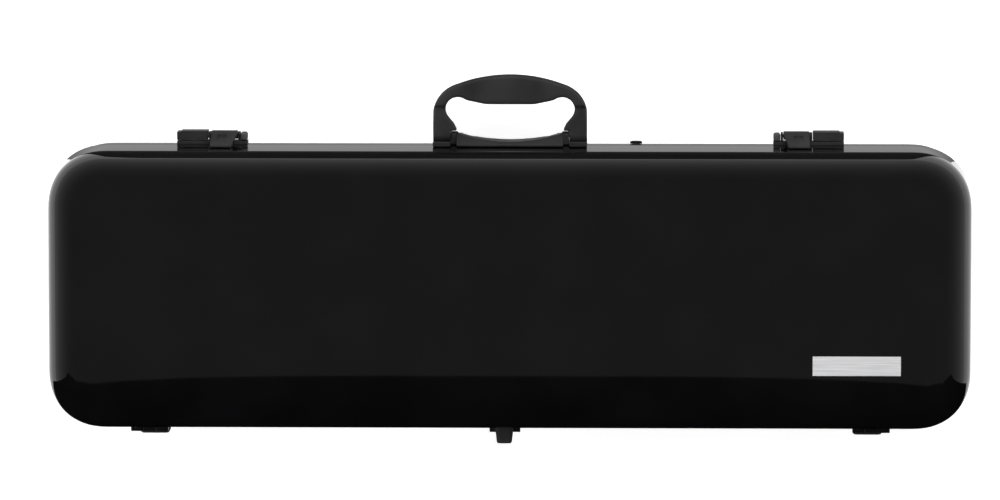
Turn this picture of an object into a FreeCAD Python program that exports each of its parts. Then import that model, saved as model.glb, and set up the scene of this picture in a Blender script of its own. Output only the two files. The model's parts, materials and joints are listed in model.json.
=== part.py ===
import FreeCAD, Part
import math
import os

# Oblong hard case for a full-size violin, closed and lying on its tray, lid upwards.
# X runs along the length with the scroll end at -X, -Y is the handle and latch side,
# +Y is the hinge side, and +Z points out of the lid. Millimetres.
# Shapes are drawn about the middle of the shell. save() then moves them by BODY_Y, so
# that the origin lies on the ground under the centre of the whole case, handle included.

V = FreeCAD.Vector

# --- driving dimensions -------------------------------------------------------------
LENGTH = 800.0              # shell, at the seam
WIDTH = 244.0
TRAY_DEPTH = 82.0
LID_DEPTH = 62.0
FOOT_HEIGHT = 4.0
FOOT_RADIUS = 12.0
WALL = 3.0
CORNER_RADIUS = 50.0        # seen from above
EDGE_RADIUS = 24.0          # where the walls turn into the top and the bottom
TRAY_DRAFT = math.tan(math.radians(4.0))
LID_DRAFT = math.tan(math.radians(3.0))
SEAM_GAP = 0.4
FIT = 0.05                  # gap between fixed pieces that touch
CLEAR = 0.6                 # gap between fittings on the tray and the lid's wall

SEAM_Z = FOOT_HEIGHT + TRAY_DEPTH
TOP_Z = SEAM_Z + LID_DEPTH
HALF_X = LENGTH / 2
HALF_Y = WIDTH / 2

# handle, heights measured out from the shell's wall at the seam
HANDLE_REACH = 61.0
HANDLE_HALF = 66.6          # half its outer width
LEG_INNER = 51.4            # inner face of a leg at its foot
HORN_INNER = 46.0           # the small inward horn of a leg
HANDLE_AXIS = 8.6           # pivot height
HANDLE_FOLD = 80.0          # degrees, to each side
LUG_GAP = 0.15
LEG_RADIUS = 6.5
LUG_RADIUS = 3.4
HANDLE_PIN = 2.0
SHOE_THICK = 2.5
SHOE_HALF = 17.5            # along Z, to each side of the seam
BOOT_HEIGHT = 4.0           # the block under each leg
SADDLE_END = 10.8           # height of the saddle's rim at its ends and at its middle
SADDLE_MID = 3.9
SADDLE_RIDGE = 3.0          # half the flat top of the saddle, along Z
GRIP_HALF = 41.0
GRIP_DEPTH = 9.5            # half thickness along Z

# hinges
HINGE_OUT = 3.6             # axis height off the wall
KNUCKLE = 3.2
HINGE_PIN = 1.25
HINGE_END_X = 313.7
HINGE_END_WIDTH = 32.5
HINGE_MID_X = 4.5
HINGE_MID_WIDTH = 26.8
LEAF_OUT = 1.9
LEAF_HEIGHT = 11.0

# feet that the case stands on when it is set down on its hinge side
STAND_REACH = 12.8
STAND_TRAY_X = 311.6
STAND_TRAY_SIZE = 26.7
STAND_TRAY_DROP = 45.0
STAND_LID_RISE = 24.0

# latches: distances from the middle along X, the same on both sides
LATCH_IN = 228.0
LATCH_OUT = 289.0
LATCH_HEIGHT = 11.2
LATCH_PLATE = 2.8
LATCH_LOW = -20.0           # along Z from the seam
LATCH_HIGH = -1.0
HOOK_IN = 236.8
HOOK_OUT = 259.0
HOOK_FACET = 4.8
HOOK_AXIS_H = 7.0
HOOK_AXIS_Z = -14.0
LATCH_PIN = 1.5

# suspension bed
BED_INSET = 7.5
BED_TOP = SEAM_Z - 2.0
CAVITY_FLOOR = 24.0
LOWER_BOUT = (264.0, 106.0)     # centre along X, radius
UPPER_BOUT = (96.0, 86.0)
WAIST_HALF = 60.0
NECK_HALF = 24.0
NECK_END = -150.0
NECK_FLOOR = 40.0
SCROLL_END = -245.0
SCROLL_HALF = 34.0
POCKET = (-235.0, -40.0)        # the two side compartments, along X
END_BOX = (-378.0, -260.0)
END_BOX_HALF = 98.0
BOX_IN = 58.0
BOX_OUT = 98.0
BOX_LID_IN = 54.0
BOX_LID_OUT = 104.0
BOX_LID_THICK = 3.5

LINING = 5.0
BOW_Y = 50.0
CLIP_X = 330.0
RING_HEIGHT = 34.0
RING_WIRE = 0.9
RING_HALF = 4.4             # half the width of a strap ring, at the middle of its wire
RING_DROP = 5.0
RING_OFF = 1.2              # axis to wall
RING_CLIP = 3.3
RING_SPOTS = [(-109.0, -1), (-109.0, 1), (258.0, -1), (258.0, 1)]

BODY_Y = (HANDLE_REACH - STAND_REACH) / 2


# --- helpers ------------------------------------------------------------------------
def save(name, shape):
    shape = shape.copy()
    shape.translate(V(0, BODY_Y, 0))
    shape.exportStep("parts/" + name + ".step")


def box(x0, x1, y0, y1, z0, z1):
    return Part.makeBox(x1 - x0, y1 - y0, z1 - z0, V(x0, y0, z0))


def rod(radius, start, end):
    step = end - start
    return Part.makeCylinder(radius, step.Length, start, step)


def rounded_wire(half_x, half_y, radius, z):
    # a rectangle with round corners, level at height z
    x, y, r = half_x, half_y, radius
    k = r * (1 - math.sqrt(0.5))
    edges = []
    for start, mid, end, ahead in [
        (V(x, y - r, z), V(x - k, y - k, z), V(x - r, y, z), V(r - x, y, z)),
        (V(r - x, y, z), V(k - x, y - k, z), V(-x, y - r, z), V(-x, r - y, z)),
        (V(-x, r - y, z), V(k - x, k - y, z), V(r - x, -y, z), V(x - r, -y, z)),
        (V(x - r, -y, z), V(x - k, k - y, z), V(x, r - y, z), V(x, y - r, z)),
    ]:
        edges.append(Part.Arc(start, mid, end).toShape())
        edges.append(Part.makeLine(end, ahead))
    return Part.Wire(edges)


def drafted(inset, base_z, tip_z, draft, edge=0.0):
    # a block that follows the shell's outline, inset from it. Its walls lean in with
    # distance from the seam, and its edges at tip_z are rounded.
    wires = []
    for z in (base_z, tip_z):
        lean = inset + abs(z - SEAM_Z) * draft
        wires.append(rounded_wire(HALF_X - lean, HALF_Y - lean, CORNER_RADIUS - lean, z))
    solid = Part.makeLoft(wires, True, True)
    if edge:
        tip = [e for e in solid.Edges if all(abs(v.Z - tip_z) < 0.01 for v in e.Vertexes)]
        solid = solid.makeFillet(edge, tip)
    return solid


def ring(inset, thick, z0, z1, draft):
    return drafted(inset, z0, z1, draft).cut(drafted(inset + thick, z0, z1, draft))


def rounded_box(x0, x1, y0, y1, z0, z1, radius):
    # a block with its four upright edges rounded
    solid = box(x0, x1, y0, y1, z0, z1)
    upright = [e for e in solid.Edges if abs(e.Vertexes[0].Z - e.Vertexes[1].Z) > 0.01]
    return solid.makeFillet(radius, upright)


def fuse(shapes):
    solid = shapes[0]
    for shape in shapes[1:]:
        solid = solid.fuse(shape)
    return solid.removeSplitter()


def carve(solid, tools):
    for tool in tools:
        solid = solid.cut(tool)
    return solid


def group(shapes):
    return Part.makeCompound(shapes)


def prism(points, start, along):
    # a flat outline of points, swept by the vector along
    corners = [start + p for p in points]
    face = Part.Face(Part.makePolygon(corners + corners[:1]))
    return face.extrude(along)


def pan_screw(at, out, head, shank, length):
    # a round head standing on the surface at "at", its shank going in
    cap = rod(head, at, at + out * 1.3)
    cap = cap.makeFillet(0.6, [cap.Edges[0] if cap.Edges[0].CenterOfMass.distanceToPoint(at) > 1
                               else cap.Edges[2]])
    slot = box(-head, head, -0.4, 0.4, -0.6, 0.6)
    slot.Placement = FreeCAD.Placement(at + out * 1.3, FreeCAD.Rotation(V(0, 0, 1), out))
    return cap.cut(slot).fuse(rod(shank, at, at - out * length))


# --- shells and rims ----------------------------------------------------------------
tray_outer = drafted(0, SEAM_Z, FOOT_HEIGHT, TRAY_DRAFT, EDGE_RADIUS)
tray_inner = drafted(WALL, SEAM_Z, FOOT_HEIGHT + WALL, TRAY_DRAFT, EDGE_RADIUS - WALL)
lid_base = SEAM_Z + SEAM_GAP
lid_outer = drafted(0, lid_base, TOP_Z, LID_DRAFT, EDGE_RADIUS)
lid_inner = drafted(WALL, lid_base, TOP_Z - WALL, LID_DRAFT, EDGE_RADIUS - WALL)
tray_shell = tray_outer.cut(tray_inner)
lid_shell = lid_outer.cut(lid_inner)

TONGUE_INSET = WALL + 0.8
TONGUE_TOP = SEAM_Z + 5.0
SEAL_TOP = TONGUE_TOP + 1.8
TRAY_RIM_DEPTH = 11.0
LID_RIM_TOP = SEAM_Z + 18.0


def tray_rim():
    collar = ring(WALL + FIT, 4.0, SEAM_Z, SEAM_Z - TRAY_RIM_DEPTH, TRAY_DRAFT)
    tongue = ring(TONGUE_INSET, 3.0, SEAM_Z, TONGUE_TOP, 0)
    return collar.fuse(tongue).removeSplitter()


def rim_seal():
    return ring(TONGUE_INSET + 0.4, 2.2, TONGUE_TOP + FIT, SEAL_TOP, 0)


def lid_rim():
    return ring(WALL + FIT, 4.0, SEAL_TOP + 0.4, LID_RIM_TOP, LID_DRAFT)


# --- feet ---------------------------------------------------------------------------
def tray_feet():
    feet = []
    for x in (-290.0, 290.0):
        for y in (-68.0, 68.0):
            feet.append(Part.makeCylinder(FOOT_RADIUS, FOOT_HEIGHT - FIT, V(x, y, 0)))
    return group(feet)


def standing_foot(x, z, wide, tall, taper):
    # a blunt peg on the hinge side, lying against the shell's leaning wall
    wires = []
    for y, shrink in ((HALF_Y - 8.0, 0.0), (HALF_Y + STAND_REACH, taper)):
        half_w = wide / 2 - shrink
        half_t = tall / 2 - shrink
        wire = rounded_wire(half_w, half_t, 4.0, 0)
        wire.rotate(V(0, 0, 0), V(1, 0, 0), -90)
        wire.translate(V(x, y, z))
        wires.append(wire)
    solid = Part.makeLoft(wires, True, True)
    tip = [e for e in solid.Edges
           if all(abs(v.Y - HALF_Y - STAND_REACH) < 0.01 for v in e.Vertexes)]
    return solid.makeFillet(1.5, tip)


def tray_standing_feet():
    feet = []
    for side in (-1, 1):
        foot = standing_foot(side * STAND_TRAY_X, SEAM_Z - STAND_TRAY_DROP,
                             STAND_TRAY_SIZE, STAND_TRAY_SIZE, 1.0)
        feet.append(foot.cut(tray_outer))
    return group(feet)


def lid_standing_foot():
    foot = standing_foot(HINGE_MID_X, SEAM_Z + STAND_LID_RISE, 17.5, 20.0, 2.3)
    return foot.cut(lid_outer)


# --- hinges -------------------------------------------------------------------------
HINGES = [(-HINGE_END_X, HINGE_END_WIDTH), (HINGE_MID_X, HINGE_MID_WIDTH),
          (HINGE_END_X, HINGE_END_WIDTH)]
HINGE_Y = HALF_Y + HINGE_OUT
LEAF_SCREW_Z = 8.4


def hinge_rod(radius, x0, x1):
    return rod(radius, V(x0, HINGE_Y, SEAM_Z), V(x1, HINGE_Y, SEAM_Z))


def leaf_screws(x, width, side):
    # side is -1 on the tray and 1 on the lid
    spots = (x - width * 0.3, x + width * 0.3)
    z = SEAM_Z + side * LEAF_SCREW_Z
    return [pan_screw(V(s, HALF_Y + LEAF_OUT, z), V(0, 1, 0), 2.3, 1.2, 7.5) for s in spots]


def leaf_holes(x, width, side, radius):
    z = SEAM_Z + side * LEAF_SCREW_Z
    return [rod(radius, V(x + s * width * 0.3, HALF_Y - 8, z), V(x + s * width * 0.3, HALF_Y + 5, z))
            for s in (-1, 1)]


def hinge_leaf(x, width, side):
    third = width / 3
    near = SEAM_Z + side * 0.5
    far = SEAM_Z + side * LEAF_HEIGHT
    plate = box(x - width / 2, x + width / 2, HALF_Y - 6, HALF_Y + LEAF_OUT, min(near, far), max(near, far))
    middle = (x - third / 2, x + third / 2)
    ends = [(x - width / 2, x - third / 2), (x + third / 2, x + width / 2)]
    own, other = (ends, [middle]) if side < 0 else ([middle], ends)
    gap = 0.2
    plate = carve(plate, [hinge_rod(KNUCKLE + 0.3, a - gap, b + gap) for a, b in other])
    knuckles = [hinge_rod(KNUCKLE, a + (gap if a == x + third / 2 or side > 0 else 0),
                          b - (gap if b == x - third / 2 or side > 0 else 0)) for a, b in own]
    leaf = fuse([plate] + knuckles)
    leaf = leaf.cut(hinge_rod(HINGE_PIN + FIT, x - width, x + width))
    leaf = carve(leaf, leaf_holes(x, width, side, 1.2 + FIT))
    return leaf.cut(tray_outer if side < 0 else lid_outer)


def hinge_pin(x, width):
    return hinge_rod(HINGE_PIN, x - width / 2, x + width / 2)


# --- handle -------------------------------------------------------------------------
PIVOT_Y = -(HALF_Y + HANDLE_AXIS)


def out(height):
    # Y of a point that stands "height" off the handle-side wall at the seam
    return -(HALF_Y + height)


def handle_rod(radius, x0, x1):
    return rod(radius, V(x0, PIVOT_Y, SEAM_Z), V(x1, PIVOT_Y, SEAM_Z))


HANDLE_SCREWS = [(x, SEAM_Z - 9.0) for x in (-34.0, -12.0, 12.0, 34.0)]


def saddle():
    # a ridge between the lugs. Its rim dips in the middle, both its sides slope, and its
    # underside stands clear of the lid.
    inner, low = HORN_INNER, out(-6)
    rim = Part.Arc(V(-inner, out(SADDLE_END), 0), V(0, out(SADDLE_MID), 0), V(inner, out(SADDLE_END), 0))
    corners = [V(inner, out(SADDLE_END), 0), V(inner, low, 0), V(-inner, low, 0), V(-inner, out(SADDLE_END), 0)]
    sides = [Part.makeLine(a, b) for a, b in zip(corners, corners[1:])]
    solid = Part.Face(Part.Wire([rim.toShape()] + sides)).extrude(V(0, 0, 2 * SHOE_HALF))
    solid.translate(V(0, 0, SEAM_Z - SHOE_HALF))
    for side in (-1, 1):
        slope = [(SADDLE_RIDGE, SADDLE_END + 1), (SHOE_HALF + 0.1, 1.6), (SHOE_HALF + 0.1, 14), (SADDLE_RIDGE, 14)]
        points = [V(0, out(h), SEAM_Z + side * z) for z, h in slope]
        solid = solid.cut(prism(points, V(-70, 0, 0), V(140, 0, 0)))
    return solid


def over_lid(shape):
    # keeps a fitting clear of the lid's wall, which it reaches over
    room = lid_outer.copy()
    room.translate(V(0, -CLEAR, -0.6))
    return shape.cut(room)


def folded_leg(x0, x1, angle):
    # the room a leg takes up when the handle is folded over by "angle"
    half = LEG_RADIUS + 0.3
    room = box(x0, x1, PIVOT_Y - 40, PIVOT_Y, SEAM_Z - half, SEAM_Z + half)
    room.rotate(V(0, PIVOT_Y, SEAM_Z), V(1, 0, 0), angle)
    return room


def handle_base():
    low, high = SEAM_Z - SHOE_HALF, SEAM_Z + SHOE_HALF
    parts = [box(-HANDLE_HALF, HANDLE_HALF, out(SHOE_THICK), out(-6), low, SEAM_Z - 0.5), saddle()]
    for side in (-1, 1):
        x0, x1 = sorted((side * LEG_INNER, side * HANDLE_HALF))
        parts.append(box(x0, x1, out(BOOT_HEIGHT), out(-6), low, high))
        x0, x1 = sorted((side * (HORN_INNER - 1.0), side * (LEG_INNER - LUG_GAP)))
        parts.append(handle_rod(LUG_RADIUS, x0, x1))
        parts.append(box(x0, x1, PIVOT_Y, out(0), SEAM_Z - LUG_RADIUS, SEAM_Z + LUG_RADIUS))
    base = fuse(parts)
    for side in (-1, 1):
        x0, x1 = sorted((side * (LEG_INNER - 0.1), side * (HANDLE_HALF + 1)))
        base = base.cut(handle_rod(LEG_RADIUS + 0.3, x0, x1))
        for angle in (-HANDLE_FOLD, HANDLE_FOLD):
            base = base.cut(folded_leg(x0, x1, angle))
    base = base.cut(handle_rod(HANDLE_PIN + FIT, -LEG_INNER - 1, -HORN_INNER + 6))
    base = base.cut(handle_rod(HANDLE_PIN + FIT, HORN_INNER - 6, LEG_INNER + 1))
    for x, z in HANDLE_SCREWS:
        base = base.cut(rod(1.6 + FIT, V(x, out(12), z), V(x, out(-6), z)))
        base = base.cut(rod(3.2, V(x, out(12), z), V(x, out(SHOE_THICK - 0.01), z)))
    return over_lid(base.cut(tray_outer))


def handle_profile():
    # outside of legs and grip, seen along Z
    h = HANDLE_HALF
    edges = [
        Part.makeLine(V(-h, out(HANDLE_AXIS), 0), V(-h, out(31), 0)),
        Part.Arc(V(-h, out(31), 0), V(-60.2, out(43.6), 0), V(-46, out(52.6), 0)).toShape(),
        Part.Arc(V(-46, out(52.6), 0), V(0, out(HANDLE_REACH), 0), V(46, out(52.6), 0)).toShape(),
        Part.Arc(V(46, out(52.6), 0), V(60.2, out(43.6), 0), V(h, out(31), 0)).toShape(),
        Part.makeLine(V(h, out(31), 0), V(h, out(HANDLE_AXIS), 0)),
        Part.makeLine(V(h, out(HANDLE_AXIS), 0), V(-h, out(HANDLE_AXIS), 0)),
    ]
    face = Part.Face(Part.Wire(edges))
    solid = face.extrude(V(0, 0, 2 * GRIP_DEPTH))
    solid.translate(V(0, 0, SEAM_Z - GRIP_DEPTH))
    return solid


def finger_gap():
    # flat under the grip, round at both ends, wide open towards the case
    deep = 2 * GRIP_DEPTH + 2
    low = V(0, 0, SEAM_Z - GRIP_DEPTH - 1)
    half = [(45.2, 41.8), (37.4, 39.1), (20.9, 35.7)]
    half = [(HORN_INNER, 0), (HORN_INNER, 13.2), (48.6, 18.6), (53.4, 24.2), (45.2, 31.3)] + half
    points = [V(x, out(h), 0) for x, h in half] + [V(-x, out(h), 0) for x, h in reversed(half)]
    shapes = [prism(points, low, V(0, 0, deep))]
    for side in (-1, 1):
        shapes.append(Part.makeCylinder(10.7, deep, V(side * 45.2, out(31.3), low.z)))
        x0, x1 = sorted((side * 40, side * LEG_INNER))
        shapes.append(handle_rod(LUG_RADIUS + 0.7, x0, x1))
        shapes.append(box(x0, x1, out(HANDLE_AXIS + LUG_RADIUS + 0.7), out(0), low.z, low.z + deep))
    return fuse(shapes)


def handle_blank():
    # the legs are slimmer than the grip and end in a round foot about the pivot
    blank = handle_profile().cut(finger_gap())
    for side in (-1, 1):
        x0, x1 = sorted((side * 44.0, side * (HANDLE_HALF + 1)))
        for z0, z1 in ((SEAM_Z + LEG_RADIUS, SEAM_Z + 20), (SEAM_Z - 20, SEAM_Z - LEG_RADIUS)):
            blank = blank.cut(box(x0, x1, out(34), out(0), z0, z1))
        blank = blank.fuse(handle_rod(LEG_RADIUS, *sorted((side * LEG_INNER, side * HANDLE_HALF))))
    return blank.removeSplitter()


handle_solid = handle_blank()
grip_zone = box(-GRIP_HALF, GRIP_HALF, out(80), out(0), SEAM_Z - 20, SEAM_Z + 20)
grip_core = box(-GRIP_HALF - 1, GRIP_HALF + 1, out(54), out(44), SEAM_Z - 5, SEAM_Z + 5)


def handle_frame():
    frame = handle_solid.cut(grip_zone).fuse(grip_core).removeSplitter()
    for side in (-1, 1):
        x0, x1 = sorted((side * (LEG_INNER - 8), side * 62.0))
        frame = frame.cut(handle_rod(HANDLE_PIN + 0.02, x0, x1))
    return frame


def handle_grip():
    room = box(-GRIP_HALF, GRIP_HALF, out(54 + FIT), out(44 - FIT), SEAM_Z - 5 - FIT, SEAM_Z + 5 + FIT)
    zone = box(-GRIP_HALF + FIT, GRIP_HALF - FIT, out(80), out(0), SEAM_Z - 20, SEAM_Z + 20)
    return handle_solid.common(zone).cut(room)


def handle_pins():
    reach = HORN_INNER - 5.5
    return group([handle_rod(HANDLE_PIN, -62, -reach), handle_rod(HANDLE_PIN, reach, 62)])


# --- latches ------------------------------------------------------------------------
def at_latch(side, u, h, z):
    return V(side * u, out(h), SEAM_Z + z)


def latch_box(side, u0, u1, h0, h1, z0, z1):
    x0, x1 = sorted((side * u0, side * u1))
    return box(x0, x1, out(h1), out(h0), SEAM_Z + z0, SEAM_Z + z1)


def latch_rod(side, radius, u0, u1, h, z):
    return rod(radius, at_latch(side, u0, h, z), at_latch(side, u1, h, z))


def latch_prism(side, u0, u1, outline):
    # an outline of (z, height) points, swept along the latch
    points = [V(0, out(h), SEAM_Z + z) for z, h in outline]
    return prism(points, V(side * u0, 0, 0), V(side * (u1 - u0), 0, 0))


RIVETS = [(243.0, -17.0), (255.0, -17.0), (275.5, -14.2)]
SLOPE_TOP = (-4.0, LATCH_HEIGHT)        # the hook's sloping face, as (z, height)
SLOPE_END = (21.0, 2.6)


def latch_base(side):
    plate = latch_box(side, LATCH_IN, LATCH_OUT, -6, LATCH_PLATE, LATCH_LOW, LATCH_HIGH)
    ears = []
    for u0, u1 in ((234.4, 236.5), (259.3, 261.8)):
        ears.append(latch_box(side, u0, u1, 0.5, HOOK_AXIS_H, HOOK_AXIS_Z - 3.4, HOOK_AXIS_Z + 3.4))
        ears.append(latch_rod(side, 3.4, u0, u1, HOOK_AXIS_H, HOOK_AXIS_Z))
    base = fuse([plate] + ears)
    groove = latch_box(side, LATCH_IN - 1, 234.0, 1.3, LATCH_PLATE + 1, -10.5, -5.5)
    base = carve(base, [groove, latch_rod(side, LATCH_PIN + FIT, 234, 264, HOOK_AXIS_H, HOOK_AXIS_Z)])
    for u, z in RIVETS:
        base = base.cut(rod(1.5 + FIT, at_latch(side, u, 5, z), at_latch(side, u, -8, z)))
    return over_lid(base.cut(tray_outer))


def latch_cover(side):
    low, high = LATCH_LOW, LATCH_HIGH - 0.5
    shell = latch_box(side, 262.3, LATCH_OUT, LATCH_PLATE + 1.1, 10.6, low, high)
    room = latch_box(side, 264.3, LATCH_OUT - 2, LATCH_PLATE - 1, 9.2, low + 2, high - 2)
    cap = latch_box(side, 262.3, LATCH_OUT - 3.6, 10.6, LATCH_HEIGHT + 0.2, low - 0.3, high + 0.4)
    post = latch_box(side, 283.0, 286.0, LATCH_PLATE + FIT, 10.0, low + 1, high - 1)
    return fuse([shell.cut(room), cap, post])


def slope_height(z):
    fall = (SLOPE_END[1] - SLOPE_TOP[1]) / (SLOPE_END[0] - SLOPE_TOP[0])
    return SLOPE_TOP[1] + fall * (z - SLOPE_TOP[0])


def latch_hook(side):
    outline = [(-14.0, 7.0), (-10.5, 7.0), (-9.6, 8.6), (-4.5, 8.6), (14.6, 3.4), (15.8, 1.6),
               (15.8, 0.1), (24.0, -0.35), (24.0, 1.0), SLOPE_END, SLOPE_TOP, (-14.0, LATCH_HEIGHT)]
    hook = latch_prism(side, HOOK_IN, HOOK_OUT, outline)
    hook = hook.fuse(latch_rod(side, 3.4, HOOK_IN, HOOK_OUT, HOOK_AXIS_H, HOOK_AXIS_Z))
    bore = latch_rod(side, LATCH_PIN + FIT, HOOK_IN - 1, HOOK_OUT + 1, HOOK_AXIS_H, HOOK_AXIS_Z)
    window = latch_prism(side, 245.3, 253.6, [(3.2, slope_height(3.2) - 1.3), (13.0, slope_height(13.0) - 1.3),
                                              (13.0, 12.0), (3.2, 12.0)])
    facet = prism([V(side * (HOOK_IN - 1), 0, SEAM_Z + 25), V(side * (HOOK_IN - 1), 0, SEAM_Z + 1),
                   V(side * HOOK_IN, 0, SEAM_Z + 1), V(side * (HOOK_IN + HOOK_FACET), 0, SEAM_Z + 25)],
                  V(0, out(13), 0), V(0, 16, 0))
    return carve(hook, [bore, window, facet]).removeSplitter()


def latch_button(side):
    knob = latch_box(side, LATCH_IN, 234.0, LATCH_PLATE + 0.3, 10.2, -15, -1)
    knob = knob.makeFillet(2.0, knob.Edges)
    tongue = latch_box(side, LATCH_IN + 1.5, 233.2, 1.5, 5.5, -10.3, -5.7)
    return knob.fuse(tongue).removeSplitter()


def latch_pin(side):
    return latch_rod(side, LATCH_PIN, 234.5, 261.7, HOOK_AXIS_H, HOOK_AXIS_Z)


def latch_spring(side):
    # a bent leaf on the base plate, which pushes the opened hook outward
    base = LATCH_PLATE + FIT
    outline = [(-9.4, base), (-5.0, base), (-1.4, base + 1.0), (-1.6, base + 1.5), (-5.2, base + 0.5),
               (-9.4, base + 0.5)]
    return latch_prism(side, 243.0, 255.0, outline)


def latch_keeper(side):
    outline = [(8.0, -4.0), (15.2, -4.0), (15.2, 2.2), (14.0, 2.8), (11.5, 2.8), (11.5, 1.4), (8.0, 0.9)]
    return latch_prism(side, 241.5, 256.0, outline).cut(lid_outer)


def latch_rivets(side):
    rivets = []
    for u, z in RIVETS:
        wall = WALL - z * TRAY_DRAFT
        shank = rod(1.5, at_latch(side, u, LATCH_PLATE, z), at_latch(side, u, -wall - 0.3, z))
        head = rod(2.8, at_latch(side, u, -wall - 0.3, z), at_latch(side, u, -wall - 1.4, z))
        rivets.append(shank.fuse(head).removeSplitter())
    return rivets


# --- strap rings --------------------------------------------------------------------
def ring_y(side, height, z):
    return side * (HALF_Y - (SEAM_Z - z) * TRAY_DRAFT + height)


def strap_bracket(x, side):
    z = RING_HEIGHT
    y0, y1 = sorted((ring_y(side, -5, z), ring_y(side, 0.8, z)))
    plate = box(x - RING_CLIP, x + RING_CLIP, y0, y1, z - 2, z + 9)
    y0, y1 = sorted((ring_y(side, -5, z), ring_y(side, RING_OFF + 1.4, z)))
    clip = box(x - RING_CLIP, x + RING_CLIP, y0, y1, z - 1.7, z + 1.7)
    bore = rod(RING_WIRE + 0.1, V(x - 9, ring_y(side, RING_OFF, z), z), V(x + 9, ring_y(side, RING_OFF, z), z))
    return plate.fuse(clip).cut(bore).cut(tray_outer).removeSplitter()


def strap_ring(x, side):
    # a D of round wire: straight bar in the bracket, round below
    y = ring_y(side, RING_OFF, RING_HEIGHT)
    bow_z = RING_HEIGHT - RING_DROP
    half = RING_HALF
    edges = [
        Part.makeLine(V(x - half, y, bow_z), V(x - half, y, RING_HEIGHT)),
        Part.makeLine(V(x - half, y, RING_HEIGHT), V(x + half, y, RING_HEIGHT)),
        Part.makeLine(V(x + half, y, RING_HEIGHT), V(x + half, y, bow_z)),
        Part.Arc(V(x + half, y, bow_z), V(x, y, bow_z - half), V(x - half, y, bow_z)).toShape(),
    ]
    section = Part.Wire(Part.makeCircle(RING_WIRE, V(x - half, y, bow_z), V(0, 0, 1)))
    return Part.Wire(edges).makePipeShell([section], True, False, 2)


# --- nameplate ----------------------------------------------------------------------
def nameplate():
    plate = rounded_box(-337.0, -261.2, 54.4, 71.2, TOP_Z + FIT, TOP_Z + 0.9, 1.2)
    top = [e for e in plate.Edges if all(abs(v.Z - TOP_Z - 0.9) < 0.01 for v in e.Vertexes)]
    return plate.makeChamfer(0.3, top)


# --- inside the tray ----------------------------------------------------------------
def round_well(centre, radius, floor):
    return Part.makeCylinder(radius, 80, V(centre, 0, floor))


def suspension_bed():
    bed = drafted(BED_INSET, BED_TOP, FOOT_HEIGHT + WALL + 0.4, TRAY_DRAFT, EDGE_RADIUS - BED_INSET)
    over = SEAM_Z + 10
    wells = [
        round_well(*LOWER_BOUT, CAVITY_FLOOR),
        round_well(*UPPER_BOUT, CAVITY_FLOOR),
        box(UPPER_BOUT[0], LOWER_BOUT[0], -WAIST_HALF, WAIST_HALF, CAVITY_FLOOR, over),
        box(NECK_END, UPPER_BOUT[0] - 70, -NECK_HALF, NECK_HALF, NECK_FLOOR, over),
        rounded_box(SCROLL_END, NECK_END + 10, -SCROLL_HALF, SCROLL_HALF, 30, over, 9),
        rounded_box(POCKET[0], POCKET[1], BOX_IN, BOX_OUT, CAVITY_FLOOR, over, 8),
        rounded_box(POCKET[0] - 4, POCKET[1] + 4, BOX_LID_IN - 0.4, BOX_LID_OUT + 0.4,
                    BED_TOP - BOX_LID_THICK - 0.4, over, 4),
        rounded_box(POCKET[0], POCKET[1], -BOX_OUT, -BOX_IN + 14, CAVITY_FLOOR, over, 8),
        rounded_box(END_BOX[0], END_BOX[1], -END_BOX_HALF, END_BOX_HALF, CAVITY_FLOOR, over, 30),
    ]
    return carve(bed, wells)


def bout_pads():
    # cushions on the cavity's floor, which carry the violin at its two end blocks
    low = CAVITY_FLOOR + FIT
    return group([rounded_box(318, 352, -34, 34, low, low + 9, 8),
                  rounded_box(26, 54, -34, 34, low, low + 9, 8)])


def neck_cradle():
    block = box(-30, 0, -NECK_HALF + 0.3, NECK_HALF - 0.3, NECK_FLOOR + FIT, NECK_FLOOR + 24)
    notch = rod(15.0, V(-31, 0, NECK_FLOOR + 27), V(1, 0, NECK_FLOOR + 27))
    return block.cut(notch)


STRAP_X = (-26.0, 2.0)
STRAP_HINGE_Y = 38.0
STRAP_LOW = BED_TOP + 0.3


def neck_strap(side):
    y0, y1 = sorted((side * 0.4, side * STRAP_HINGE_Y))
    return rounded_strip(STRAP_X[0], STRAP_X[1], y0, y1, STRAP_LOW, STRAP_LOW + 1.5)


def rounded_strip(x0, x1, y0, y1, z0, z1):
    return rounded_box(x0, x1, y0, y1, z0, z1, 2.0)


def box_lid():
    low = BED_TOP - BOX_LID_THICK
    return rounded_box(POCKET[0] - 3.4, POCKET[1] + 3.4, BOX_LID_IN, BOX_LID_OUT, low, BED_TOP, 3)


def box_pull():
    # a short tab of ribbon on the small lid's free edge
    return box(-146, -130, BOX_LID_IN + 3, BOX_LID_IN + 15, BED_TOP + FIT, BED_TOP + 1.1)


# --- inside the lid -----------------------------------------------------------------
LINING_OUTER = WALL + 0.4
CEILING = TOP_Z - LINING_OUTER - LINING


def lid_lining():
    low = LID_RIM_TOP + 0.4
    outside = drafted(LINING_OUTER, low, TOP_Z - LINING_OUTER, LID_DRAFT, EDGE_RADIUS - LINING_OUTER)
    inside = drafted(LINING_OUTER + LINING, low, CEILING, LID_DRAFT, EDGE_RADIUS - LINING_OUTER - LINING)
    return outside.cut(inside)


def clip_base(y):
    disc = Part.makeCylinder(9.0, 6.0, V(CLIP_X, y, CEILING - 6.0 - FIT))
    return disc.fuse(Part.makeCylinder(2.5, 14.0, V(CLIP_X, y, CEILING - 14.0)))


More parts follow.
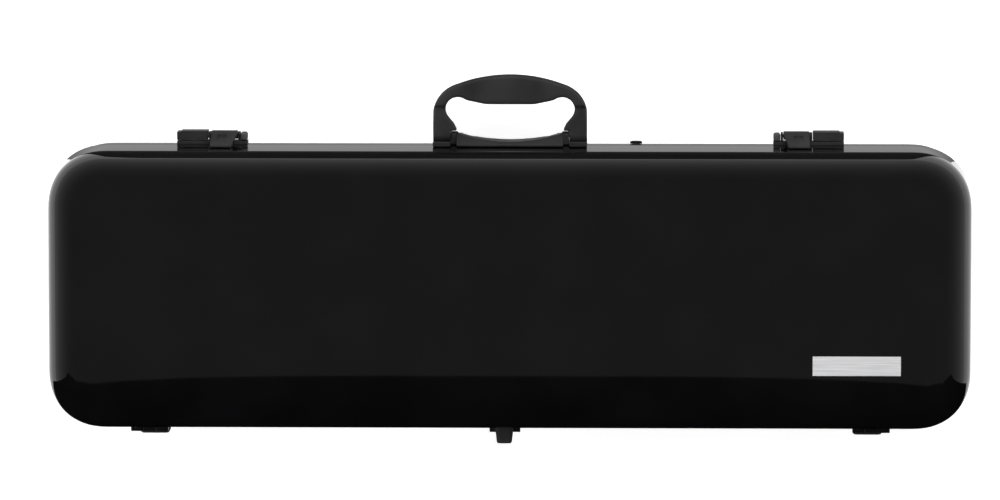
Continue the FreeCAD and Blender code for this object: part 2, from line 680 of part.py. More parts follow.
def clip_tab(y):
    # turns on the base's spigot, its arm reaching under the bow
    z1 = CEILING - 6.4
    hub = Part.makeCylinder(9.0, 5.0, V(CLIP_X, y, z1 - 5.0))
    arm = box(CLIP_X - 5, CLIP_X + 5, y, y + 27, z1 - 5.0, z1 - 2.0)
    arm = arm.makeFillet(3.0, [e for e in arm.Edges
                               if abs(e.Vertexes[0].Z - e.Vertexes[1].Z) > 0.01
                               and e.CenterOfMass.y > y + 20])
    return hub.fuse(arm).cut(Part.makeCylinder(2.5 + FIT, 20, V(CLIP_X, y, z1 - 10))).removeSplitter()


def bow_sleeve(y):
    # a pocket for the bow's tip, open towards the middle of the case
    z1 = CEILING - FIT
    sleeve = rounded_box(-374, -324, y - 15, y + 15, z1 - 22, z1, 6)
    return sleeve.cut(box(-370, -320, y - 12, y + 12, z1 - 19, z1 - 3))


def bow_pad(y):
    z1 = CEILING - FIT
    return rounded_box(170, 200, y - 16, y + 16, z1 - 8, z1, 6)


# --- holes that the fasteners need in the shells and rims -----------------------------
def tray_holes():
    holes = []
    for x, width in HINGES:
        holes += leaf_holes(x, width, -1, 1.2 + FIT)
    for x, z in HANDLE_SCREWS:
        holes.append(rod(1.6 + FIT, V(x, out(3), z), V(x, out(-10), z)))
    for side in (-1, 1):
        for u, z in RIVETS:
            holes.append(rod(1.5 + FIT, at_latch(side, u, 5, z), at_latch(side, u, -8, z)))
    return holes


def lid_holes():
    return [hole for x, width in HINGES for hole in leaf_holes(x, width, 1, 1.2 + FIT)]


# --- write every piece --------------------------------------------------------------
os.makedirs("parts", exist_ok=True)
save("tray_shell", carve(tray_shell, tray_holes()))
save("tray_rim", carve(tray_rim(), tray_holes()))
save("rim_seal", rim_seal())
save("tray_feet", tray_feet())
save("tray_standing_feet", tray_standing_feet())
save("lid_shell", carve(lid_shell, lid_holes()))
save("lid_rim", carve(lid_rim(), lid_holes()))
save("lid_standing_foot", lid_standing_foot())
save("hinge_tray_leaves", group([hinge_leaf(x, w, -1) for x, w in HINGES]))
save("hinge_lid_leaves", group([hinge_leaf(x, w, 1) for x, w in HINGES]))
save("hinge_pins", group([hinge_pin(x, w) for x, w in HINGES]))
save("hinge_tray_screws", group([s for x, w in HINGES for s in leaf_screws(x, w, -1)]))
save("hinge_lid_screws", group([s for x, w in HINGES for s in leaf_screws(x, w, 1)]))
save("handle_base", handle_base())
save("handle_frame", handle_frame())
save("handle_grip", handle_grip())
save("handle_pins", handle_pins())
save("handle_screws", group([pan_screw(V(x, out(SHOE_THICK), z), V(0, -1, 0), 3.0, 1.6, 7.0)
                             for x, z in HANDLE_SCREWS]))
for name, side in (("left", 1), ("right", -1)):
    save(name + "_latch_base", latch_base(side))
    save(name + "_latch_cover", latch_cover(side))
    save(name + "_latch_hook", latch_hook(side))
    save(name + "_latch_button", latch_button(side))
    save(name + "_latch_pin", latch_pin(side))
    save(name + "_latch_spring", latch_spring(side))
    save(name + "_latch_keeper", latch_keeper(side))
save("latch_rivets", group(latch_rivets(-1) + latch_rivets(1)))
save("strap_brackets", group([strap_bracket(x, side) for x, side in RING_SPOTS]))
for number, (x, side) in enumerate(RING_SPOTS, 1):
    save("strap_ring_%d" % number, strap_ring(x, side))
save("nameplate", nameplate())
save("suspension_bed", suspension_bed())
save("bout_pads", bout_pads())
save("neck_cradle", neck_cradle())
save("neck_strap_front", neck_strap(-1))
save("neck_strap_back", neck_strap(1))
save("box_lid", box_lid())
save("box_pull", box_pull())
save("lid_lining", lid_lining())
save("bow_clip_bases", group([clip_base(-BOW_Y), clip_base(BOW_Y)]))
save("bow_clip_front", clip_tab(-BOW_Y))
save("bow_clip_back", clip_tab(BOW_Y))
save("bow_sleeves", group([bow_sleeve(-BOW_Y), bow_sleeve(BOW_Y)]))
save("bow_pads", group([bow_pad(-BOW_Y), bow_pad(BOW_Y)]))
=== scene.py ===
import json
import math

import bmesh
import bpy
from mathutils import Matrix, Vector

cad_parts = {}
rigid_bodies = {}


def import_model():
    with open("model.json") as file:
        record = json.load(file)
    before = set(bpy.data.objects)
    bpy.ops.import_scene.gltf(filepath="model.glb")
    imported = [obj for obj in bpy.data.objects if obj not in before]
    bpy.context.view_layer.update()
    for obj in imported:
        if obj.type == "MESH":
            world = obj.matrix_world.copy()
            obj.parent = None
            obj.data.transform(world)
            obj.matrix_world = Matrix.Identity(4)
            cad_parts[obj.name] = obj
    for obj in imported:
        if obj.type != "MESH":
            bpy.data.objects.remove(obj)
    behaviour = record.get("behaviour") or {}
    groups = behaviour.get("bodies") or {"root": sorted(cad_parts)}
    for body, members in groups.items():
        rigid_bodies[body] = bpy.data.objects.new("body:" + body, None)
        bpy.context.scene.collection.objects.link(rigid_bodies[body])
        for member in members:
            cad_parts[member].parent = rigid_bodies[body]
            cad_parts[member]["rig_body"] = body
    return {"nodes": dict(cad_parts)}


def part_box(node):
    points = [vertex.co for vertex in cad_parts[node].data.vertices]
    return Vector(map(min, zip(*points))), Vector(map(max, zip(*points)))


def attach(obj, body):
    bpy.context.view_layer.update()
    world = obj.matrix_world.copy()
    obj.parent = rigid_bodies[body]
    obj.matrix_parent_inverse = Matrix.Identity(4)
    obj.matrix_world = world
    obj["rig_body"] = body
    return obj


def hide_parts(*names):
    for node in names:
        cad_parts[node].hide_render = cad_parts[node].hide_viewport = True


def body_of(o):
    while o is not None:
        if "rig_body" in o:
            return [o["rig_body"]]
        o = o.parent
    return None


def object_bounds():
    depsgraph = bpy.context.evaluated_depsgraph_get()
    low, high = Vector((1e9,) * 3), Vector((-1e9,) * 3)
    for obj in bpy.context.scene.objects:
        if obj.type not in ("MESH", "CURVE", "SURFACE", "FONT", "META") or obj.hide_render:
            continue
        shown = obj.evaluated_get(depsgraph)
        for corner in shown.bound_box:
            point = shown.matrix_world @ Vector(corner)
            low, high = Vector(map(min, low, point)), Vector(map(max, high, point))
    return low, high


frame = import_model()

# An oblong hard case for a violin, lying on its tray with the lid up. Metres.
# X runs along the length, -Y is the handle side, +Y the hinge side, +Z out of the lid.

CAD_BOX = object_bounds()
LID_LOW, LID_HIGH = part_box("lid_shell")
TRAY_LOW, TRAY_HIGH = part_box("tray_shell")
SEAM_Z = TRAY_HIGH.z
MID_Y = (LID_LOW.y + LID_HIGH.y) / 2
HALF_X = LID_HIGH.x
HALF_Y = LID_HIGH.y - MID_Y
MM = 0.001


# --- mesh helpers -------------------------------------------------------------------
def new_object(name, verts, faces, smooth=True):
    mesh = bpy.data.meshes.new(name)
    mesh.from_pydata([tuple(v) for v in verts], [], faces)
    mesh.update()
    if smooth:
        mesh.polygons.foreach_set("use_smooth", [True] * len(mesh.polygons))
    obj = bpy.data.objects.new(name, mesh)
    bpy.context.scene.collection.objects.link(obj)
    return obj


def tidy(obj, distance=1e-6):
    # merge doubled points and face every polygon outwards
    bm = bmesh.new()
    bm.from_mesh(obj.data)
    bmesh.ops.remove_doubles(bm, verts=bm.verts, dist=distance)
    bmesh.ops.dissolve_degenerate(bm, edges=bm.edges, dist=distance)
    bmesh.ops.recalc_face_normals(bm, faces=bm.faces)
    bm.to_mesh(obj.data)
    bm.free()
    obj.data.update()
    return obj


def apply_modifiers(obj):
    graph = bpy.context.evaluated_depsgraph_get()
    mesh = bpy.data.meshes.new_from_object(obj.evaluated_get(graph))
    obj.modifiers.clear()
    obj.data = mesh
    return obj


def bevel(obj, width, segments=3, angle=40):
    mod = obj.modifiers.new("round", "BEVEL")
    mod.width = width
    mod.segments = segments
    mod.limit_method = "ANGLE"
    mod.angle_limit = math.radians(angle)
    mod.harden_normals = True
    return mod


def superellipse(t, power):
    # a point on the unit quarter curve, t from 0 to 1
    a = t * math.pi / 2
    return max(math.cos(a), 0.0) ** (2 / power), max(math.sin(a), 0.0) ** (2 / power)


def loop(half_x, half_y, radius, corner=16, long=30, short=10):
    points = []
    for sx, sy, flip, count in ((1, 1, 0, long), (-1, 1, 1, short), (-1, -1, 0, long), (1, -1, 1, short)):
        for i in range(corner + 1):
            t = i / corner
            c, s = superellipse(1 - t if flip else t, 2.25)
            x, y = half_x - radius + radius * c, half_y - radius + radius * s
            points.append((sx * x, sy * y))
        last = points[-1]
        if flip:
            ahead = (last[0], -last[1])
        else:
            ahead = (-last[0], last[1])
        for i in range(1, count):
            k = i / count
            points.append((last[0] + (ahead[0] - last[0]) * k, last[1] + (ahead[1] - last[1]) * k))
    return points


def skin(rings):
    # quads between rings of equal length
    verts = [p for ring in rings for p in ring]
    n = len(rings[0])
    faces = []
    for j in range(len(rings) - 1):
        for i in range(n):
            k = (i + 1) % n
            faces.append((j * n + i, j * n + k, (j + 1) * n + k, (j + 1) * n + i))
    return verts, faces


def slab_faces(across, along):
    # a thin slab: a grid of points below, the same grid above, and a skirt between
    row, layer = across + 1, (across + 1) * (along + 1)
    faces = []
    for j in range(along):
        for i in range(across):
            a = j * row + i
            faces.append((a, a + row, a + row + 1, a + 1))
            faces.append((layer + a, layer + a + 1, layer + a + row + 1, layer + a + row))
    edge = list(range(across)) + [j * row + across for j in range(along)]
    edge += [along * row + i for i in range(across, 0, -1)] + [j * row for j in range(along, 0, -1)]
    for a, b in zip(edge, edge[1:] + edge[:1]):
        faces.append((a, b, layer + b, layer + a))
    return faces


# --- materials ----------------------------------------------------------------------
def node_material(name):
    mat = bpy.data.materials.new(name)
    mat.use_nodes = True
    nodes, links = mat.node_tree.nodes, mat.node_tree.links
    shader = nodes["Principled BSDF"]
    where = nodes.new("ShaderNodeTexCoord").outputs["Object"]
    return mat, nodes, links, shader, where


def noise(nodes, links, where, scale, detail=3.0, rough=0.5):
    tex = nodes.new("ShaderNodeTexNoise")
    tex.inputs["Scale"].default_value = scale
    tex.inputs["Detail"].default_value = detail
    tex.inputs["Roughness"].default_value = rough
    links.new(where, tex.inputs["Vector"])
    return tex.outputs["Fac"]


def spread(nodes, links, value, low, high, start=0.3, stop=0.7):
    # maps a 0 to 1 value onto low to high
    ramp = nodes.new("ShaderNodeMapRange")
    ramp.inputs["From Min"].default_value = start
    ramp.inputs["From Max"].default_value = stop
    ramp.inputs["To Min"].default_value = low
    ramp.inputs["To Max"].default_value = high
    links.new(value, ramp.inputs["Value"])
    return ramp.outputs["Result"]


def two_tone(nodes, links, value, dark, light, start=0.35, stop=0.65):
    ramp = nodes.new("ShaderNodeValToRGB")
    ramp.color_ramp.elements[0].position = start
    ramp.color_ramp.elements[0].color = (*dark, 1)
    ramp.color_ramp.elements[1].position = stop
    ramp.color_ramp.elements[1].color = (*light, 1)
    links.new(value, ramp.inputs["Fac"])
    return ramp.outputs["Color"]


def add_bump(nodes, links, shader, height, strength, distance):
    bump = nodes.new("ShaderNodeBump")
    bump.inputs["Strength"].default_value = strength
    bump.inputs["Distance"].default_value = distance
    links.new(height, bump.inputs["Height"])
    links.new(bump.outputs["Normal"], shader.inputs["Normal"])


def moulded(name, dark, light, rough, grain=900.0, depth=0.25, metallic=0.0, coat=0.0, specular=0.5):
    # hard surfaces: mottled colour, uneven gloss and a fine grain
    mat, nodes, links, shader, where = node_material(name)
    shader.inputs["Metallic"].default_value = metallic
    shader.inputs["Coat Weight"].default_value = coat
    shader.inputs["Coat Roughness"].default_value = 0.08
    shader.inputs["Specular IOR Level"].default_value = specular
    cloud = noise(nodes, links, where, 35.0)
    links.new(two_tone(nodes, links, cloud, dark, light), shader.inputs["Base Color"])
    links.new(spread(nodes, links, cloud, *rough), shader.inputs["Roughness"])
    add_bump(nodes, links, shader, noise(nodes, links, where, grain, 2.0), depth, 0.0002)
    return mat


def lacquer(name):
    # gloss black shell: almost no colour of its own, faint waviness, slightly uneven gloss
    mat, nodes, links, shader, where = node_material(name)
    shader.inputs["Specular IOR Level"].default_value = 0.5
    cloud = noise(nodes, links, where, 14.0, 4.0)
    tone = two_tone(nodes, links, cloud, (0.0022, 0.0022, 0.0025), (0.0034, 0.0034, 0.0038))
    links.new(tone, shader.inputs["Base Color"])
    wear = noise(nodes, links, where, 60.0, 5.0)
    links.new(spread(nodes, links, wear, 0.02, 0.04), shader.inputs["Roughness"])
    add_bump(nodes, links, shader, noise(nodes, links, where, 45.0, 1.0), 0.02, 0.0003)
    return mat


def plush(name, dark, light, sheen=0.6):
    # short pile cloth: brushed patches, fibre fuzz and a soft sheen
    mat, nodes, links, shader, where = node_material(name)
    shader.inputs["Sheen Weight"].default_value = sheen
    shader.inputs["Sheen Roughness"].default_value = 0.45
    shader.inputs["Sheen Tint"].default_value = (0.55, 0.6, 0.75, 1)
    shader.inputs["Specular IOR Level"].default_value = 0.15
    patches = noise(nodes, links, where, 22.0, 5.0, 0.6)
    links.new(two_tone(nodes, links, patches, dark, light), shader.inputs["Base Color"])
    links.new(spread(nodes, links, patches, 0.85, 1.0), shader.inputs["Roughness"])
    add_bump(nodes, links, shader, noise(nodes, links, where, 1500.0, 4.0, 0.7), 0.6, 0.0006)
    return mat


def woven(name, dark, light, pitch=0.0012, rough=(0.7, 0.9)):
    # ribbon and webbing: two crossed sets of ribs
    mat, nodes, links, shader, where = node_material(name)
    waves = []
    for direction in ("X", "Y"):
        wave = nodes.new("ShaderNodeTexWave")
        wave.bands_direction = direction
        wave.inputs["Scale"].default_value = 0.31831 / pitch
        wave.inputs["Distortion"].default_value = 0.4
        links.new(where, wave.inputs["Vector"])
        waves.append(wave.outputs["Fac"])
    mix = nodes.new("ShaderNodeMath")
    mix.operation = "MULTIPLY"
    links.new(waves[0], mix.inputs[0])
    links.new(waves[1], mix.inputs[1])
    weave = mix.outputs["Value"]
    shader.inputs["Sheen Weight"].default_value = 0.3
    links.new(two_tone(nodes, links, weave, dark, light, 0.0, 0.8), shader.inputs["Base Color"])
    links.new(spread(nodes, links, weave, *rough), shader.inputs["Roughness"])
    add_bump(nodes, links, shader, weave, 0.7, 0.0004)
    return mat


def brushed(name, dark, light, rough, stretch=(4.0, 900.0, 900.0)):
    # metal with fine lines along X
    mat, nodes, links, shader, where = node_material(name)
    shader.inputs["Metallic"].default_value = 1.0
    mapping = nodes.new("ShaderNodeMapping")
    mapping.inputs["Scale"].default_value = stretch
    links.new(where, mapping.inputs["Vector"])
    lines = noise(nodes, links, mapping.outputs["Vector"], 4.0, 4.0)
    links.new(two_tone(nodes, links, lines, dark, light), shader.inputs["Base Color"])
    links.new(spread(nodes, links, lines, *rough), shader.inputs["Roughness"])
    add_bump(nodes, links, shader, lines, 0.08, 0.0001)
    return mat


def satin_plate(name):
    # satin aluminium scatters so much light that it reads as pale grey from any side
    mat = brushed(name, (0.62, 0.62, 0.63), (0.86, 0.86, 0.87), (0.5, 0.7))
    shader = mat.node_tree.nodes["Principled BSDF"]
    shader.inputs["Metallic"].default_value = 0.25
    return mat


GLOSS = lacquer("gloss_black")
RIM = moulded("rim_plastic", (0.010, 0.010, 0.011), (0.018, 0.018, 0.019), (0.35, 0.5))
HARD = moulded("hardware_plastic", (0.022, 0.022, 0.023), (0.032, 0.032, 0.034), (0.4, 0.52))
LATCH = moulded("latch_plastic", (0.020, 0.020, 0.021), (0.030, 0.030, 0.032), (0.32, 0.45))
HOOK = moulded("hook_plastic", (0.020, 0.020, 0.021), (0.034, 0.034, 0.035), (0.4, 0.52), specular=0.45)
KNOB = moulded("knob_plastic", (0.05, 0.05, 0.052), (0.08, 0.08, 0.083), (0.4, 0.5))
HANDLE = moulded("handle_plastic", (0.016, 0.016, 0.017), (0.026, 0.026, 0.027), (0.33, 0.45))
RUBBER = moulded("rubber", (0.016, 0.016, 0.017), (0.028, 0.028, 0.029), (0.7, 0.85), 600.0, 0.4)
BLACKED = moulded("blacked_steel", (0.02, 0.02, 0.021), (0.04, 0.04, 0.042), (0.3, 0.42), metallic=0.8)
STEEL = brushed("steel", (0.42, 0.42, 0.43), (0.62, 0.62, 0.63), (0.25, 0.4))
SILVER = satin_plate("brushed_plate")
PLUSH = plush("plush", (0.010, 0.013, 0.024), (0.022, 0.028, 0.048))
VELVET = plush("velvet_pad", (0.020, 0.025, 0.044), (0.038, 0.046, 0.075), 0.8)
RIBBON = woven("ribbon", (0.006, 0.007, 0.012), (0.03, 0.034, 0.05))


def dress(obj, mat):
    obj.data.materials.clear()
    obj.data.materials.append(mat)
    return obj


# --- shells -------------------------------------------------------------------------
CROWN = 1.6 * MM
SHELL_WALL = 3.0 * MM
EDGE = 24 * MM
CORNER = 53.0 * MM
SMALLEST_CORNER = 6 * MM
LID_DRAFT = 3.0
TRAY_DRAFT = 4.0


def crown(x, y):
    u = min(abs(x) / HALF_X, 1)
    v = min(abs(y) / HALF_Y, 1)
    return CROWN * (1 - v ** 2) * (1 - u ** 4)


def shell_rings(depth, draft, edge, crowned, seam, sign):
    # rings from the seam, along the wall and round the edge, then over the flat side.
    # sign is 1 for the lid and -1 for the tray.
    lean = math.tan(math.radians(draft))
    profile = []
    straight = depth - edge
    for i in range(9):
        h = straight * i / 8
        profile.append((h * lean, h))
    base = profile[-1][0]
    for i in range(1, 19):
        c, s = superellipse(i / 18, 2.15)
        profile.append((base + (1 - c) * edge, straight + s * edge))
    rings = []
    for gap, h in profile:
        ring = []
        for x, y in loop(HALF_X - gap, HALF_Y - gap, max(CORNER - gap, SMALLEST_CORNER)):
            rise = crown(x, y) * h / depth if crowned else 0
            ring.append(Vector((x, y + MID_Y, seam + sign * (h + rise))))
        rings.append(ring)
    flat = rings[-1]
    spine = HALF_X - HALF_Y
    steps = 12
    for j in range(1, steps + 1):
        k = j / steps
        ring = []
        for p in flat:
            y = p.y - MID_Y
            x = p.x + (max(-spine, min(spine, p.x)) - p.x) * k
            y = y * (1 - k)
            rise = crown(x, y) if crowned else 0
            ring.append(Vector((x, y + MID_Y, seam + sign * (depth + rise))))
        rings.append(ring)
    return rings


def shell(name, node, depth, draft, sign, crowned):
    low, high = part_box(node)
    seam = low.z if sign > 0 else high.z
    verts, faces = skin(shell_rings(depth, draft, EDGE, crowned, seam, sign))
    obj = tidy(new_object(name, verts, faces), 1e-5)
    mod = obj.modifiers.new("wall", "SOLIDIFY")
    mod.thickness = SHELL_WALL
    mod.offset = -1
    apply_modifiers(obj)
    bevel(obj, 0.5 * MM, 3, 50)
    dress(obj, GLOSS)
    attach(obj, "lid" if sign > 0 else "tray")
    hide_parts(node)


shell("lid_skin", "lid_shell", LID_HIGH.z - LID_LOW.z, LID_DRAFT, 1, True)
shell("tray_skin", "tray_shell", TRAY_HIGH.z - TRAY_LOW.z, TRAY_DRAFT, -1, False)


# --- carried-over CAD pieces --------------------------------------------------------
FINISHES = {
    "tray_rim": RIM, "lid_rim": RIM, "rim_seal": RUBBER, "tray_feet": RUBBER,
    "tray_standing_feet": RUBBER, "lid_standing_foot": RUBBER,
    "hinge_tray_leaves": BLACKED, "hinge_lid_leaves": BLACKED, "hinge_pins": STEEL,
    "hinge_tray_screws": BLACKED, "hinge_lid_screws": BLACKED,
    "handle_base": HANDLE, "handle_frame": HANDLE, "handle_grip": HANDLE, "handle_pins": STEEL,
    "handle_screws": BLACKED,
    "latch_rivets": STEEL, "strap_brackets": BLACKED, "nameplate": SILVER,
    "suspension_bed": PLUSH, "bout_pads": VELVET, "neck_cradle": VELVET,
    "neck_strap_front": RIBBON, "neck_strap_back": RIBBON, "box_lid": PLUSH, "box_pull": RIBBON,
    "lid_lining": PLUSH, "bow_clip_bases": HARD, "bow_clip_front": HARD, "bow_clip_back": HARD,
    "bow_sleeves": VELVET, "bow_pads": VELVET,
}
for side in ("left", "right"):
    for part, mat in (("base", LATCH), ("cover", LATCH), ("hook", HOOK), ("button", KNOB),
                      ("pin", STEEL), ("spring", STEEL), ("keeper", LATCH)):
        FINISHES["%s_latch_%s" % (side, part)] = mat
for number in range(1, 5):
    FINISHES["strap_ring_%d" % number] = BLACKED
for node, mat in FINISHES.items():
    dress(frame["nodes"][node], mat)

# moulded edges are never sharp
EDGED = [node for node in FINISHES if "latch" in node and "rivets" not in node]
EDGED += ["hinge_tray_leaves", "hinge_lid_leaves", "bow_clip_front", "bow_clip_back", "bow_clip_bases"]
for node in EDGED:
    weld = frame["nodes"][node].modifiers.new("weld", "WELD")
    weld.merge_threshold = 0.01 * MM
    bevel(frame["nodes"][node], 0.4 * MM, 2, 35)


# --- handle -------------------------------------------------------------------------
def node_body(node):
    return body_of(frame["nodes"][node])[0]


def copied(name, *nodes):
    # one new object holding the CAD shapes of the nodes, in the shared frame
    bm = bmesh.new()
    for node in nodes:
        source = frame["nodes"][node]
        mesh = source.data.copy()
        mesh.transform(source.matrix_world)
        bm.from_mesh(mesh)
    mesh = bpy.data.meshes.new(name)
    bm.to_mesh(mesh)
    bm.free()
    obj = bpy.data.objects.new(name, mesh)
    bpy.context.scene.collection.objects.link(obj)
    return tidy(obj)


def softened(obj, voxel, passes, passes_far=0, far=None):
    # rounds a shape's edges. Points for which far(co) holds are rounded further.
    mod = obj.modifiers.new("remesh", "REMESH")
    mod.mode = "VOXEL"
    mod.voxel_size = voxel
    mod.use_smooth_shade = True
    smooth = obj.modifiers.new("smooth", "SMOOTH")
    smooth.factor = 0.5
    smooth.iterations = passes
    apply_modifiers(obj)
    if far:
        group = obj.vertex_groups.new(name="far")
        for v in obj.data.vertices:
            group.add([v.index], far(v.co), "REPLACE")
        smooth = obj.modifiers.new("smooth", "SMOOTH")
        smooth.factor = 0.5
        smooth.iterations = passes_far
        smooth.vertex_group = "far"
        apply_modifiers(obj)
        obj.vertex_groups.clear()
    return obj


def take_over(obj, mat, slot, *nodes):
    dress(obj, mat)
    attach(obj, node_body(nodes[0]))
    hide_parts(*nodes)
    return obj


# grip and legs are one moulding, round in section; the base has soft edges
WALL_Y = MID_Y - HALF_Y


def on_grip(co):
    # 0 on the lower legs, 1 on the grip
    return max(0.0, min(1.0, (WALL_Y - co.y - 20 * MM) / (9 * MM)))


moulding = softened(copied("handle_moulding", "handle_frame", "handle_grip"), 0.9 * MM, 3, 40, on_grip)
take_over(moulding, HANDLE, "handle", "handle_frame", "handle_grip")
take_over(softened(copied("handle_saddle", "handle_base"), 0.5 * MM, 3), HANDLE, "handle", "handle_base")


# --- nameplate ----------------------------------------------------------------------
def crowned_plate(node):
    # a blank plate bent to the lid's crown
    low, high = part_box(node)
    across, along = 30, 8
    proud = 0.6 * MM
    verts = []
    for layer in (0, 1):
        for j in range(along + 1):
            for i in range(across + 1):
                x = low.x + (high.x - low.x) * i / across
                y = low.y + (high.y - low.y) * j / along
                z = LID_HIGH.z + crown(x, y - MID_Y) + (proud if layer else -0.5 * MM)
                verts.append((x, y, z))
    obj = tidy(new_object("plate_skin", verts, slab_faces(across, along), False))
    bevel(obj, 0.3 * MM, 3, 50)
    return obj


take_over(crowned_plate("nameplate"), SILVER, "nameplate", "nameplate")


# --- soft goods ---------------------------------------------------------------------
SIM_FRAMES = 20


def swell(obj, pressure, cap):
    # a short pressure simulation with no gravity. No point moves further than the cap.
    scene = bpy.context.scene
    start = [v.co.copy() for v in obj.data.vertices]
    mod = obj.modifiers.new("cloth", "CLOTH")
    mod.settings.use_pressure = True
    mod.settings.uniform_pressure_force = pressure
    mod.settings.effector_weights.gravity = 0
    mod.settings.quality = 5
    mod.point_cache.frame_start = 1
    mod.point_cache.frame_end = SIM_FRAMES
    for number in range(1, SIM_FRAMES + 1):
        scene.frame_set(number)
    apply_modifiers(obj)
    scene.frame_set(1)
    for v, before in zip(obj.data.vertices, start):
        step = v.co - before
        if step.length > cap:
            v.co = before + step.normalized() * cap
    return obj


def keep_within(obj, low, high, spare=0.0):
    # the piece stays in the space its CAD solid holds
    for v in obj.data.vertices:
        for axis in range(3):
            v.co[axis] = max(low[axis] - spare, min(high[axis] + spare, v.co[axis]))
    return obj


def shrunk(obj, amount):
    obj.data.update()
    normals = [v.normal.copy() for v in obj.data.vertices]
    for v, normal in zip(obj.data.vertices, normals):
        v.co -= normal * amount
    return obj


def pad(name, node, mat, slot, voxel, passes, puffed):
    obj = softened(copied(name, node), voxel, passes)
    low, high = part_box(node)
    if puffed:
        shrunk(obj, puffed * 0.5)
        swell(obj, 4.0, puffed)
        keep_within(obj, low, high)
        mod = obj.modifiers.new("fine", "SUBSURF")
        mod.levels = mod.render_levels = 1
        apply_modifiers(obj)
    obj.data.polygons.foreach_set("use_smooth", [True] * len(obj.data.polygons))
    take_over(obj, mat, slot, node)


pad("bed_foam", "suspension_bed", PLUSH, "bed", 4.0 * MM, 5, 0)
pad("lining_skin", "lid_lining", PLUSH, "lining", 2.4 * MM, 3, 0)
pad("bout_cushions", "bout_pads", VELVET, "pad", 2.0 * MM, 6, 1.2 * MM)
pad("cradle_cushion", "neck_cradle", VELVET, "pad", 2.0 * MM, 6, 1.2 * MM)
pad("bow_cushions", "bow_pads", VELVET, "pad", 1.6 * MM, 6, 0.8 * MM)
pad("bow_pockets", "bow_sleeves", VELVET, "pad", 1.0 * MM, 4, 0)
pad("box_lid_cushion", "box_lid", PLUSH, "box_lid", 1.4 * MM, 6, 0.6 * MM)


def webbing(name, node, lift):
    # a flat woven strap, slightly domed across, with a sunken stitch line along each edge
    low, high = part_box(node)
    count_x, count_y = 24, 32
    verts = []
    for side in (0, 1):
        for j in range(count_y + 1):
            for i in range(count_x + 1):
                u, v = i / count_x, j / count_y
                dome = math.sin(math.pi * u) ** 0.5 * lift
                hem = -0.25 * MM if abs(abs(2 * u - 1) - 0.84) < 0.05 else 0
                top = high.z - lift + dome + hem
                x = low.x + (high.x - low.x) * u
                y = low.y + (high.y - low.y) * v
                verts.append((x, y, top if side else low.z))
    obj = tidy(new_object(name, verts, slab_faces(count_x, count_y)))
    bevel(obj, 0.3 * MM, 2, 50)
    return take_over(obj, RIBBON, "ribbon", node)


webbing("strap_band_front", "neck_strap_front", 0.4 * MM)
webbing("strap_band_back", "neck_strap_back", 0.4 * MM)
webbing("pull_band", "box_pull", 0.2 * MM)


# --- studio -------------------------------------------------------------------------
def flat(x0, x1, y0, y1, z):
    return [(x0, y0, z), (x1, y0, z), (x1, y1, z), (x0, y1, z)]


def upright(x0, x1, y, z0, z1):
    return [(x0, y, z0), (x1, y, z0), (x1, y, z1), (x0, y, z1)]


def stage_plane(name, verts, mat):
    obj = new_object(name, verts, [(0, 1, 2, 3)], False)
    obj.data.materials.append(mat)
    return obj


def only_in_gloss(obj):
    obj.visible_camera = False
    obj.visible_diffuse = False
    obj.visible_shadow = False
    obj.visible_transmission = False


def glow(name, points, along="Y"):
    # an emitter whose strength follows (position, strength) points along one axis
    mat = bpy.data.materials.new(name)
    mat.use_nodes = True
    nodes, links = mat.node_tree.nodes, mat.node_tree.links
    nodes.remove(nodes["Principled BSDF"])
    emit = nodes.new("ShaderNodeEmission")
    links.new(emit.outputs["Emission"], nodes["Material Output"].inputs["Surface"])
    split = nodes.new("ShaderNodeSeparateXYZ")
    links.new(nodes.new("ShaderNodeTexCoord").outputs["Object"], split.inputs["Vector"])
    span = spread(nodes, links, split.outputs[along], 0, 1, points[0][0], points[-1][0])
    ramp = nodes.new("ShaderNodeValToRGB")
    width = points[-1][0] - points[0][0]
    elements = ramp.color_ramp.elements
    while len(elements) < len(points):
        elements.new(0.5)
    for element, (place, level) in zip(elements, points):
        element.position = (place - points[0][0]) / width
        element.color = (level, level, level, 1)
    links.new(span, ramp.inputs["Fac"])
    links.new(ramp.outputs["Color"], emit.inputs["Color"])
    return mat


def floor_material():
    mat, nodes, links, shader, where = node_material("pale_floor")
    shader.inputs["Roughness"].default_value = 0.9
    shader.inputs["Specular IOR Level"].default_value = 0.0
    tone = two_tone(nodes, links, noise(nodes, links, where, 1.5), (0.88, 0.88, 0.88), (0.9, 0.9, 0.9))
    links.new(tone, shader.inputs["Base Color"])
    shader.inputs["Emission Color"].default_value = (1, 1, 1, 1)
    shader.inputs["Emission Strength"].default_value = 0.62
    return mat


FLOOR_SPAN = 80.0
floor = flat(-FLOOR_SPAN, FLOOR_SPAN, -FLOOR_SPAN, FLOOR_SPAN, 0.0)
stage_plane("floor", floor, floor_material())
CARD_HALF = 0.62
CARD_TOP = 0.58
CARD_Y = CAD_BOX[1].y + 4 * MM
# painted reflection: a faintly glowing dark sheet by the hinge side, seen only in reflections, brighter
# higher up, that paints a dark horizon into the gloss
painted_reflection_glow = glow("dark", [(0.0, 0.0), (0.3, 0.001), (0.58, 0.010)], "Z")
only_in_gloss(stage_plane("painted_reflection_card", upright(-CARD_HALF, CARD_HALF, CARD_Y, 0.02, CARD_TOP), painted_reflection_glow))
# painted reflection of the floor close to the case, seen only in the walls by the handle: a glowing
# sheet, painted shade near the case with a painted bright band just in front of it
FRONT = LID_LOW.y
shade = glow("shade", [(FRONT - 1.2, 0.16), (FRONT - 0.050, 0.05), (FRONT - 0.034, 0.16),
                       (FRONT - 0.020, 0.55), (FRONT - 0.008, 0.35), (FRONT + 0.02, 0.08)])
strip = flat(-HALF_X, HALF_X, FRONT - 1.2, FRONT + 0.03, 1 * MM)
only_in_gloss(stage_plane("shaded_strip", strip, shade))


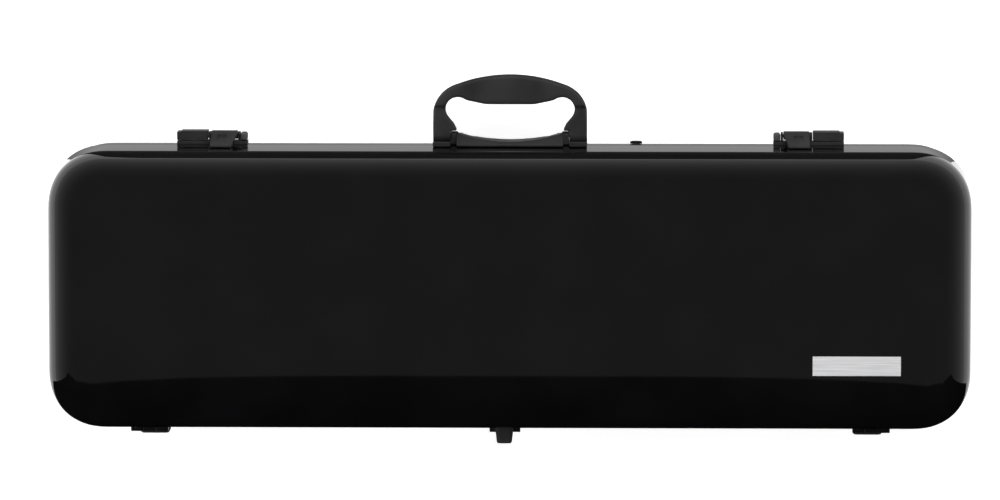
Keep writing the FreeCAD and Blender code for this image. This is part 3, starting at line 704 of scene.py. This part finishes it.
def world():
    sky = bpy.data.worlds.new("studio")
    bpy.context.scene.world = sky
    sky.use_nodes = True
    nodes, links = sky.node_tree.nodes, sky.node_tree.links
    split = nodes.new("ShaderNodeSeparateXYZ")
    links.new(nodes.new("ShaderNodeTexCoord").outputs["Generated"], split.inputs["Vector"])
    ramp = nodes.new("ShaderNodeValToRGB")
    ramp.color_ramp.elements[0].position = 0.0
    ramp.color_ramp.elements[0].color = (1.0, 1.0, 1.0, 1)
    ramp.color_ramp.elements[1].position = 1.0
    ramp.color_ramp.elements[1].color = (0.16, 0.16, 0.16, 1)
    for place, level in ((0.41, 0.55), (0.79, 0.28)):
        element = ramp.color_ramp.elements.new(place)
        element.color = (level, level, level, 1)
    links.new(split.outputs["Z"], ramp.inputs["Fac"])
    links.new(ramp.outputs["Color"], nodes["Background"].inputs["Color"])


world()


def softbox(name, place, size, power):
    data = bpy.data.lights.new(name, "AREA")
    data.shape = "RECTANGLE"
    data.size = size[0]
    data.size_y = size[1]
    data.energy = power
    obj = bpy.data.objects.new(name, data)
    bpy.context.scene.collection.objects.link(obj)
    obj.location = place
    aim = Vector((0, 0, 0.1)) - Vector(place)
    obj.rotation_euler = aim.to_track_quat("-Z", "Y").to_euler()
    obj.visible_glossy = False


softbox("top_light", (-0.6, -1.6, 3.0), (2.4, 1.6), 70)
softbox("side_light", (2.4, 0.6, 2.4), (1.8, 1.8), 40)

# the camera looks down on the lid, tipped a little towards the handle side
TILT = math.radians(6.0)
SWING = math.radians(1.2)
CAMERA_DISTANCE = 6.0
FRAME_WIDTH = 0.8677
TARGET = Vector((0.0088, MID_Y - 0.0304, SEAM_Z))


def add_camera():
    data = bpy.data.cameras.new("camera")
    data.sensor_width = 36.0
    data.lens = data.sensor_width * CAMERA_DISTANCE / FRAME_WIDTH
    cam = bpy.data.objects.new("camera", data)
    bpy.context.scene.collection.objects.link(cam)
    away = Vector((-math.sin(SWING), -math.sin(TILT) * math.cos(SWING), math.cos(TILT) * math.cos(SWING)))
    up = Vector((0, -1, 0))
    up = (up - up.dot(away) * away).normalized()
    turn = Matrix((up.cross(away), up, away)).transposed().to_4x4()
    cam.matrix_world = Matrix.Translation(TARGET + away * CAMERA_DISTANCE) @ turn
    bpy.context.scene.camera = cam


add_camera()
bpy.context.scene.view_settings.view_transform = "Standard"
